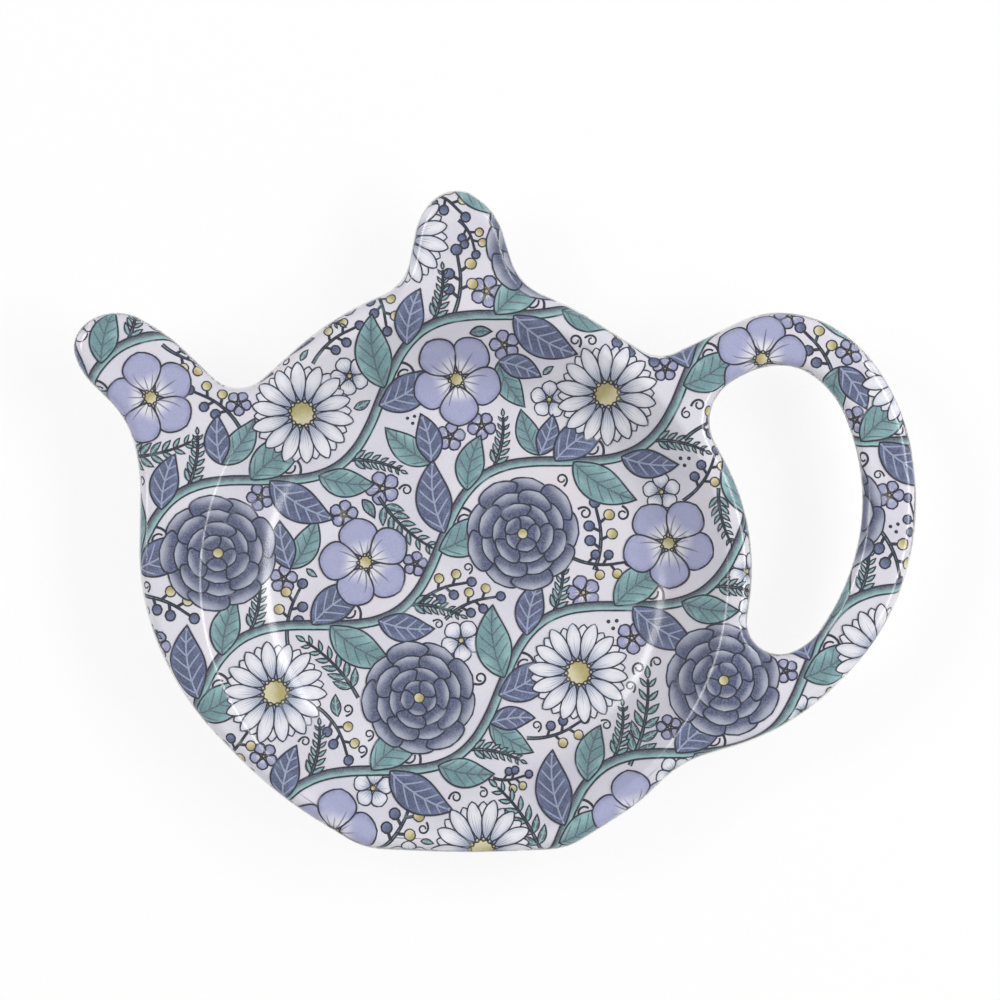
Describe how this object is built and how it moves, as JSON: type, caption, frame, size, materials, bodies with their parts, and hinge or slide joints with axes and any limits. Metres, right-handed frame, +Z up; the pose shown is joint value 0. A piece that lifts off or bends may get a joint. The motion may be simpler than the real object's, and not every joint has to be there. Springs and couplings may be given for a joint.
{
  "type": "tea bag rest",
  "caption": "Teapot-shaped moulded tray with a round well for a used tea bag, a spout, a lid knob and a handle ring with a finger gap.",
  "frame": {"origin": "middle of the foot ring on the surface that it stands on, under the middle of the well", "axes": "+X towards the handle, +Y towards the lid knob, +Z up, out of the well"},
  "size_m": [0.1198, 0.0941, 0.0116],
  "materials": {
    "white_melamine": "moulded white melamine, smooth gloss",
    "printed_decor": "floral print on an off-white lavender ground, under a clear overlay",
    "clear_melamine": "clear high gloss overlay"
  },
  "bodies": {
    "root": {"moulded_body": "white_melamine", "printed_foil": "printed_decor", "clear_glaze": "clear_melamine"}
  },
  "joints": []
}
